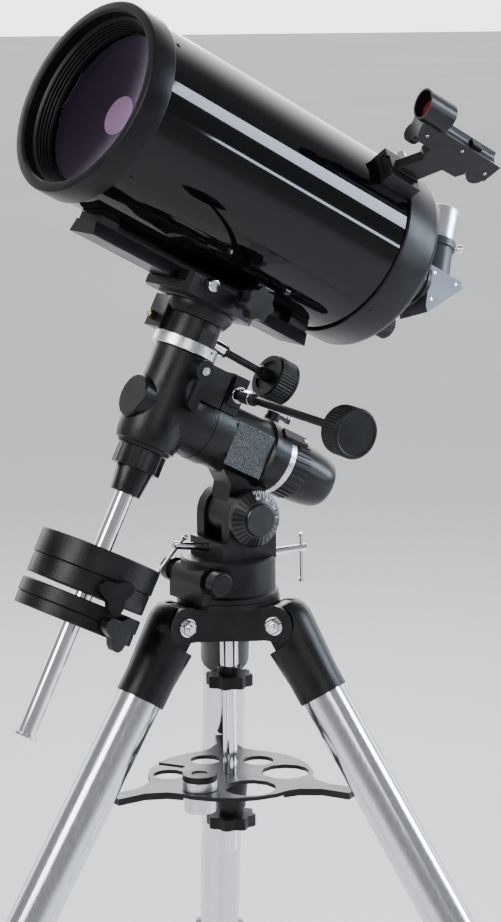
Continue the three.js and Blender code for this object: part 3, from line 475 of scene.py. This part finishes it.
def refine(node):
    """Puts a copy with softened edges and its finished material in a CAD node's place."""
    data = frame["nodes"][node].data.copy()
    work = bmesh.new()
    work.from_mesh(data)
    bmesh.ops.remove_doubles(work, verts=work.verts[:], dist=MERGE_WITHIN)
    bmesh.ops.dissolve_limit(
        work, angle_limit=FLAT_WITHIN, verts=work.verts[:], edges=work.edges[:])
    work.to_mesh(data)
    work.free()
    if "custom_normal" in data.attributes:
        data.attributes.remove(data.attributes["custom_normal"])
    thing = new_object(node + "_fine", data)
    dress(thing, SPECIAL.get(node, MATERIAL_OF_SLOT[SLOT_OF[node]]))
    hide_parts(node)
    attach(thing, BODY_OF[node])


for node_name in sorted(frame["nodes"]):
    if node_name not in BUILT_ANEW:
        refine(node_name)

# ---- optical tube -----------------------------------------------------------------------

RING = 97            # outer radius of the front ring
BORE = 92.1          # inner radius of the tube shell
RIDGES = 5           # light-trapping steps inside the front ring
RIDGE_PITCH = 3
ridges = []
for step in range(RIDGES):
    depth = TUBE_FRONT + 13 + step * RIDGE_PITCH
    ridges += [(84.5 - step, depth), (82.6 - step, depth + 0.6), (82.6 - step, depth + 2.4)]
Shape().lathe(
    [(88, TUBE_FRONT), (95, TUBE_FRONT), (96.2, TUBE_FRONT + 0.5), (RING, TUBE_FRONT + 2),
     (RING, -188.4), (RING - 1, -187.6), (BORE, -187.6), (BORE, -168), (78.3, -168),
     (78.3, -186.3), (75.5, -186.3), (75.5, -190)]
    + list(reversed(ridges)) + [(86, -203), (86, -213)],
    FINE, ABOUT_X).piece("front_ring", TUBE, SATIN, "tube", ["front_cell"])
Shape().lathe(
    [(94, -187.3), (94, 126.7), (92.4, 126.7), (92.4, -187.3)], FINE,
    ABOUT_X).piece("tube_shell", TUBE, GLOSS, "tube", ["optical_tube"])
Shape().lathe(
    [(20.5, 181.7), (44, 181.7), (46, 179.7), (46, TUBE_BACK), (88, TUBE_BACK), (92, 172.6),
     (95, 169.5), (96.6, 164.7), (96.6, 128), (95.8, 127), (BORE, 127), (BORE, 112), (86, 112),
     (86, 160), (20, 160), (20, -30), (18.4, -30), (18.4, 166), (20.5, 168)],
    FINE, ABOUT_X).piece("rear_casting", TUBE, SATIN, "tube", ["rear_cell"])
Shape().lathe(
    [(88.2, TUBE_BACK - 0.3), (89.6, TUBE_BACK + 0.2), (89.6, TUBE_BACK - 0.5)],
    FINE, ABOUT_X).piece("rear_groove", TUBE, MATT, "tube", bevel=0)


rear_spots = [(0, 80 * math.cos(a), 80 * math.sin(a)) for a in ring_of(6, 0.3)]
screw_heads("rear_screws", TUBE, rear_spots, ABOUT_X, 2.6, 172.8, 174.6, CHROME, "tube")
for label, along, top in (("front", -178.5, 94.9), ("back", 138, 97.2)):
    screws = Shape()
    for angle in ring_of(4, math.radians(40)):
        turn = Matrix.Rotation(angle, 4, "X") @ shift(along, 0, 0)
        screws.lathe(
            [(0, top - 2), (2.4, top - 2), (2.4, top - 0.4), (1.9, top), (0, top)], SMALL, turn)
    screws.piece("cell_screws_" + label, TUBE, PLASTIC, "tube", bevel=0)

LENS_EDGE = -186         # front of the lens at its rim, along the tube
LENS_CURVE = 240         # radius of its deep front curve
LENS_RADIUS = 78
LENS_THICKNESS = 11
LENS_STEPS = 16


def dish(radius):
    """How far the lens is hollowed at a radius from its middle."""
    rim = math.sqrt(LENS_CURVE ** 2 - LENS_RADIUS ** 2)
    return math.sqrt(LENS_CURVE ** 2 - radius ** 2) - rim


lens_radii = [LENS_RADIUS * i / LENS_STEPS for i in range(LENS_STEPS + 1)]
face = [(radius, LENS_EDGE + dish(radius)) for radius in lens_radii]
back_face = [(radius, depth + LENS_THICKNESS) for radius, depth in reversed(face)]
Shape().lathe(face + back_face, FINE, ABOUT_X).piece(
    "lens", TUBE, LENS, "tube", ["meniscus_lens"], bevel=0)
spot_back = LENS_EDGE + dish(0) + LENS_THICKNESS + 0.2
spot_face = LENS_EDGE + dish(0) + 6
Shape().lathe(
    [(0, spot_face), (10, spot_face - 0.2), (20, spot_face - 0.8), (20, spot_face + 0.3),
     (0, spot_face + 0.9)], ROUND, ABOUT_X).piece("secondary_spot", TUBE, SPOT, "tube", bevel=0)
Shape().lathe(
    [(92.35, -167.5), (92.35, 111.5), (91.9, 111.5), (91.9, -167.5)], FINE, ABOUT_X).piece(
        "tube_lining", TUBE, MATT, "tube", bevel=0)
Shape().lathe(
    [(21.5, spot_back), (24, spot_back), (21.5, spot_back + 40), (19.5, spot_back + 40)],
    ROUND, ABOUT_X).piece("lens_baffle", TUBE, MATT, "tube", bevel=0)

# ---- back end ---------------------------------------------------------------------------

Shape().lathe(
    [(20.5, 182), (42, 182), (42, 189), (41, 190), (37, 191), (37, 211), (36, 213), (25.5, 227),
     (25, 229), (25, 238), (16.2, 238), (16.2, 200), (20.5, 196)],
    FINE, ABOUT_X).piece("port_adapter", TUBE, SATIN, "tube", ["visual_back"])
Shape().lathe(
    [(25.2, 231), (26.2, 231.6), (26.2, 235.4), (25.2, 236)], ROUND, ABOUT_X).piece(
        "adapter_ring", TUBE, PLASTIC, "tube", bevel=0)


focus = shift(0, -24, -58) @ ABOUT_X
Shape().rod(5, 174, 185, SMALL, focus).prism(milled(13, 0.9, 30, 240), 184, 206, focus).piece(
    "focus_knob_milled", TUBE, RUBBER, "focuser", ["focus_knob"])

CROSS_X = 262.5          # where the eyepiece's axis crosses the tube's
socket = shift(CROSS_X, 0, 0)
Shape().lathe(
    [(0, 30), (13.6, 30), (13.6, 24), (15.9, 24), (15.9, 58.3), (17, 58.3), (17.1, 66),
     (18.1, 82), (19, 92), (18.8, 93.6), (17.5, 94.5), (12.5, 94.5), (9, 91), (9, 90), (0, 90.3)],
    FINE, socket).piece("eyepiece_barrel", SPIN, SILVER, "eyepiece", ["eyepiece"])
Shape().lathe([(0, 90.2), (8.6, 90.2), (6, 91.1), (0, 91.6)], ROUND, socket).piece(
    "eyepiece_glass", SPIN, LENS, "eyepiece", bevel=0)
side_spots = [(CROSS_X - 16, -19, -18), (CROSS_X + 16, -19, 12), (CROSS_X - 16, -19, 12)]
screw_heads("diagonal_screws", SPIN, side_spots, ABOUT_MINUS_Y, 1.8, -0.6, 0.5, CHROME, "diagonal")

# ---- finder -----------------------------------------------------------------------------

SIGHT_HEIGHT = 181.5     # the finder's axis above the tube's
sight = shift(0, 0, SIGHT_HEIGHT) @ ABOUT_X
Shape().lathe([(0, 72), (13.3, 72), (13.3, 73.2), (0, 74.6)], ROUND, sight).piece(
    "finder_window", SHOE, RED_GLASS, "finder", bevel=0)
finder_spots = [(84, -11, 160), (170, -11, 158), (128, -11, 166)]
screw_heads("finder_screws", SHOE, finder_spots, ABOUT_MINUS_Y, 1.7, -0.5, 0.5, CHROME, "finder")
Shape().prism([(136, -4), (150, -4), (150, 4), (136, 4)], 170.4, 176).piece(
    "finder_switch", SHOE, RUBBER, "finder")

# ---- mount head -------------------------------------------------------------------------

Shape().lathe(
    [(19.5, 57.8), (31.8, 57.8), (32.5, 58.5), (32.5, 68.6), (31.8, 69.2), (19.5, 69.2)],
    FINE).piece("dec_circle", HEAD, DEC_TICKS, "declination_circle", ["dec_setting_circle"],
                bevel=0, own_axes=True)
Shape().lathe(
    [(19, 142.5), (32.2, 142.5), (32.8, 143.1), (32.8, 149.4), (32.2, 150), (19, 150)],
    FINE, ABOUT_X).piece("ra_circle", HEAD, RA_TICKS, "polar_circle", ["ra_setting_circle"],
                         bevel=0, own_axes=True)
COVER_RIBS = 30
cover = Shape().lathe(
    [(0, 150.3), (30, 150.3), (30, 172), (29.4, 184), (28.2, 196), (26.6, 205), (24.6, 209.4),
     (21.5, 211.6), (18, 212), (0, 212)], FINE, ABOUT_X)
for angle in ring_of(COVER_RIBS):
    rib = Matrix.Rotation(angle, 4, "X")
    cover.prism([(151, -2.1), (151, 2.1), (171, 1.5), (171, -1.5)], 28, 31, rib)
cover.piece("polar_cover_turned", HEAD, PLASTIC, "polar_cover", ["polar_scope_cover"])
Shape().lathe(
    [(0, -342.5), (11, -342.5), (12, -341.5), (12, -338.5), (9.3, -338.5), (9.3, -20.3),
     (0, -20.3)], ROUND).piece("weight_shaft", HEAD, CHROME, "declination_body",
                               ["counterweight_shaft"])


KNOB_TEETH = 44


def control_knob(name, where, shaft_to, node, body):
    """A stiff shaft along +X with a chrome sleeve at the worm and a milled hand knob."""
    shape = Shape()
    shape.lathe(
        [(0, -14), (3.6, -14), (3.6, 0), (4.6, 1), (4.6, 3), (6.4, 4), (6.4, 24), (4, 26),
         (4, shaft_to - 12), (7, shaft_to - 10), (7, shaft_to + 3), (0, shaft_to + 3)],
        SMALL, ABOUT_X)
    knob = shift(shaft_to, 0, 0) @ ABOUT_X
    shape.prism(milled(23.7, 1.1, KNOB_TEETH, KNOB_TEETH * 8), 2, 22, knob)
    shape.lathe(
        [(0, 6), (14, 6), (16, 0), (22, 0), (23.4, 1.4), (23.4, 2.4), (22.3, 3), (22.3, 21),
         (23.8, 21.6), (23.8, 23.4), (22.2, 25), (20.4, 25), (19.6, 24.2), (0, 24.2)],
        FINE, knob)
    shape.piece(name, where, RUBBER, body, [node])
    Shape().lathe(
        [(4.4, 2), (6.9, 2), (6.9, 20), (4.4, 20)], SMALL, ABOUT_X).piece(
            name + "_sleeve", where, CHROME, body)


polar_axis = joint_axis("polar_control_turn")
RA_CONTROL = place(joint_point("polar_control_turn"), polar_axis, joint_axis("right_ascension"))
control_knob("ra_hand_control", RA_CONTROL, 174, "ra_control", "polar_control")
DEC_CONTROL = place(
    joint_point("declination_control_turn"), joint_axis("declination_control_turn"),
    joint_axis("declination"))
control_knob("dec_hand_control", DEC_CONTROL, 80, "dec_control", "declination_control")

DIAL = place(joint_point("latitude_tilt"), (1, 0, 0), (0, -1, 0))
dial = Shape().lathe(
    [(0, -37), (14, -37), (14, -30.3), (7.6, -30.3), (7.6, 30.3), (28.4, 30.3), (28.4, 35.5),
     (17.4, 42.4), (16.4, 42.2), (16.4, 44.6), (15.5, 46), (0, 46)], FINE)
dial.piece("latitude_dial_turned", DIAL, DIAL_TICKS, "azimuth_base", ["latitude_dial"],
           own_axes=True)
DIAL_SLOPE = 32          # degrees that the dial's face leans back
DIAL_RIBS = 30
SCALE_MIDDLE = math.radians(45)      # the printed scale is free of ribs
SCALE_HALF = math.radians(55)
ribs = Shape()
for angle in ring_of(DIAL_RIBS, math.radians(102)):
    if math.cos(angle - SCALE_MIDDLE) > math.cos(SCALE_HALF):
        continue
    slope = Matrix.Rotation(angle, 4, "Z") @ shift(23, 0, 38.9) @ turned(DIAL_SLOPE, "Y")
    ribs.prism([(-5.6, -0.8), (5.6, -1.2), (5.6, 1.2), (-5.6, 0.8)], -0.8, 0.55, slope)
ribs.piece("latitude_dial_ribs", DIAL, PLASTIC, "azimuth_base", bevel=0.2 * MM)


def numeral(words, where, size, material, body):
    """A small raised number, lying in the X and Y of its place."""
    curve = bpy.data.curves.new("numeral_" + words, "FONT")
    curve.body = words
    curve.size = size * MM
    curve.extrude = 0.1 * MM
    curve.align_x = "CENTER"
    curve.align_y = "CENTER"
    curve.resolution_u = 2
    thing = new_object("numeral_" + words, curve)
    thing.matrix_world = where @ Matrix.Scale(1 / MM, 4)
    curve.materials.append(material)
    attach(thing, body)


for degrees in (0, 30, 60, 90):
    spot = turned(degrees, "Z") @ shift(21, 0, 40.35) @ turned(DIAL_SLOPE, "Y") @ turned(-90, "Z")
    numeral(str(degrees), DIAL @ spot, 4.6, WHITE, "azimuth_base")

worm = shift(56, 0, 40) @ ABOUT_Y
Shape().lathe([(5.2, -36.6), (8.2, -36.6), (8.2, -33), (5.2, -33)], SMALL, worm).piece(
    "ra_worm_ring", HEAD, CHROME, "polar_body")
Shape().prism([(72, -26), (118, -26), (118, 18), (72, 18)], 30.5, 31.1, ABOUT_MINUS_Y).piece(
    "grey_panel", HEAD, HAMMERED, "polar_body")
dec_worm = shift(0, 24, 81) @ ABOUT_X
Shape().rod(3.6, -38.2, -37, SMALL, dec_worm).piece(
    "dec_worm_stub", HEAD, BRASS, "declination_head")
screw_heads("clutch_screw", HEAD, [(7, -41, 46)], ABOUT_MINUS_Y, 4.2, -0.5, 1.6, CHROME,
            "declination_clutch")
circle_screw = turned(-68, "Z") @ shift(0, 0, 65.5) @ ABOUT_X
Shape().rod(1.6, 32.0, 32.7, SMALL, circle_screw).piece(
    "dec_circle_screw", HEAD, MATT, "declination_circle", bevel=0)
pointer_tip = turned(40, "X")
Shape().prism([(156, -2), (159.6, -2), (159.6, 2), (156, 2)], 37.9, 38.4, pointer_tip).piece(
    "ra_pointer_tip", HEAD, WHITE, "polar_body", bevel=0)
lever_tip = shift(134, 12, 0) @ turned(15, "Z") @ shift(24, 0, 0)
Shape().rod(3.05, 46.2, 51.9, SMALL, lever_tip).piece("lever_tip", HEAD, CHROME, "polar_clutch")

# ---- tripod -----------------------------------------------------------------------------

SPARE_FROM_ROD = 60      # the spare eyepiece's hole from the tray's middle
SPARE_TURN = math.radians(-153)
spare = shift(SPARE_FROM_ROD * math.cos(SPARE_TURN), SPARE_FROM_ROD * math.sin(SPARE_TURN), 0)
Shape().lathe(
    [(0, -20), (14.7, -20), (14.7, -22), (15.9, -22), (15.9, 0.3), (17.4, 0.3), (17.4, 9.5),
     (0, 9.5)], ROUND, spare).piece("spare_barrel", STAND, SILVER, "spare", ["spare_eyepiece"])
Shape().lathe(
    [(0, 9.6), (17.3, 9.6), (17.3, 15.4), (16.6, 16), (8.6, 16), (7, 14.5), (0, 14.5)],
    ROUND, spare).piece("spare_eye_cup", STAND, RUBBER, "spare")

HEXAGON = 6

for leg in LEG_NAMES:
    where = leg_place(leg)
    bolt = Shape()
    for side in (-1, 1):
        outward = Matrix.Rotation(-side * math.pi / 2, 4, "X")
        bolt.rod(9.4, 21.05, 22.4, SMALL, outward)
        bolt.lathe([(0, 22.4), (8.1, 22.4), (8.1, 26), (6.9, 27), (0, 27)], HEXAGON, outward)
        bolt.lathe([(0, 27), (4.05, 27), (4.05, 29.6), (3.4, 30.1), (0, 30.1)], SMALL, outward)
    bolt.piece("hub_bolt_" + leg, where, CHROME, "stand", bevel=0.2 * MM)
    floor_point = where.inverted() @ Vector((0, 0, 0))
    down = (where.inverted().to_3x3() @ Vector((0, 0, -1))).normalized()
    slider = Shape().lathe(
        [(0, -830), (8, -828), (16, -820), (20, -813), (21.5, -808), (21.5, -768), (20.6, -766),
         (19, -765.6), (19, -330), (17.6, -330), (17.6, -780), (0, -780)], ROUND)
    slider.cut_below(floor_point, down)
    slider.piece("leg_slider_" + leg, where, STEEL, "leg_slider_" + leg, ["leg_inner_tube_" + leg])
    Shape().lathe(
        [(19.2, -768), (21.8, -768), (21.8, -796), (19.2, -796)], ROUND).piece(
            "leg_foot_sleeve_" + leg, where, RUBBER, "leg_slider_" + leg)

# ---- floor, light and camera ------------------------------------------------------------

FLOOR_SIZE = 120         # metres
bpy.ops.mesh.primitive_plane_add(size=FLOOR_SIZE, location=(0, 0, -0.5 * MM))
floor = bpy.context.object
floor.name = "floor"
floor.data.materials.append(finish_material(
    "pale_floor", (0.78, 0.78, 0.78), (0.80, 0.80, 0.80), (0.6, 0.7), speckle=0.5))

CAMERA_FROM_AXIS = Vector((-1.3975, -2.1934, 0.8048))    # from the tray's middle, in metres
VIEW_AZIMUTH = math.radians(33.02)
VIEW_ELEVATION = math.radians(10.57)
VIEW_ROLL = math.radians(-0.62)
LENS_LENGTH = 104.76     # millimetres
SENSOR_WIDTH = 36
ahead = Vector((math.sin(VIEW_AZIMUTH) * math.cos(VIEW_ELEVATION),
                math.cos(VIEW_AZIMUTH) * math.cos(VIEW_ELEVATION), -math.sin(VIEW_ELEVATION)))

# A pale backdrop behind the object and a dimmer room in front of it.
world = bpy.data.worlds.new("studio")
bpy.context.scene.world = world
world.use_nodes = True
sky = world.node_tree
backdrop = sky.nodes["Background"]
backdrop.inputs["Color"].default_value = (0.96, 0.98, 1.0, 1)
facing = sky.nodes.new("ShaderNodeTexCoord")
toward = sky.nodes.new("ShaderNodeVectorMath")
toward.operation = "DOT_PRODUCT"
toward.inputs[1].default_value = ahead
glow = sky.nodes.new("ShaderNodeMapRange")
glow.interpolation_type = "SMOOTHSTEP"
glow.inputs["From Min"].default_value = 0.3
glow.inputs["From Max"].default_value = 0.85
glow.inputs["To Min"].default_value = 0.38
glow.inputs["To Max"].default_value = 3.6
sky.links.new(facing.outputs["Generated"], toward.inputs[0])
sky.links.new(toward.outputs["Value"], glow.inputs["Value"])
sky.links.new(glow.outputs["Result"], backdrop.inputs["Strength"])

CENTRE = (cad_low + cad_high) / 2


def aim(azimuth, elevation):
    """The way from the object to a light: azimuth 0 is on the -Y side and 90 on the +X side."""
    a, e = math.radians(azimuth), math.radians(elevation)
    return Vector((math.sin(a) * math.cos(e), -math.cos(a) * math.cos(e), math.sin(e)))


def softbox(name, back, distance, size, power, along=Vector((0, 0, 1)), colour=(1, 1, 1)):
    """An area light that looks at the middle of the object; along is the way its width runs."""
    light = bpy.data.lights.new(name, "AREA")
    light.shape = "RECTANGLE"
    light.size, light.size_y = size
    light.energy = power
    light.color = colour
    lamp = new_object(name, light)
    wide = (along - back * along.dot(back)).normalized()
    lamp.matrix_world = (Matrix.Translation(CENTRE + back * distance)
                         @ Matrix((wide, back.cross(wide), back)).transposed().to_4x4())


TUBE_AXIS = joint_axis("tube_balance_slide")


def mirrored_in_tube(rise):
    """The way to a light whose streak shows on the tube, rise degrees round from its near side."""
    along = -ahead.dot(TUBE_AXIS)
    near = (-ahead - TUBE_AXIS * along).normalized()
    over = TUBE_AXIS.cross(near)
    over *= math.copysign(1, over.z)
    angle = math.radians(rise)
    across = near * math.cos(angle) + over * math.sin(angle)
    return (-TUBE_AXIS * along + across * math.sqrt(1 - along * along)).normalized()


COOL = (0.72, 0.84, 1.0)
softbox("broad_streak", mirrored_in_tube(62), 2.8, (1.5, 0.55), 80, TUBE_AXIS, COOL)
softbox("thin_streak", mirrored_in_tube(34), 3.0, (1.1, 0.12), 14, TUBE_AXIS, COOL)
softbox("key", aim(-80, 40), 3.2, (1.8, 1.4), 90)
softbox("fill", aim(-15, 30), 3.6, (1.0, 1.6), 25)
softbox("rim", aim(150, 35), 3.0, (1.6, 1.2), 60)

camera_data = bpy.data.cameras.new("camera")
camera_data.lens = LENS_LENGTH
camera_data.sensor_width = SENSOR_WIDTH
camera_data.clip_end = 50
camera = new_object("camera", camera_data)
right = ahead.cross(Vector((0, 0, 1))).normalized()
above = right.cross(ahead)
right = right * math.cos(VIEW_ROLL) + above * math.sin(VIEW_ROLL)
above = right.cross(ahead)
camera.matrix_world = (
    Matrix.Translation(STAND.to_translation() + CAMERA_FROM_AXIS)
    @ Matrix((right, above, -ahead)).transposed().to_4x4())
bpy.context.scene.camera = camera
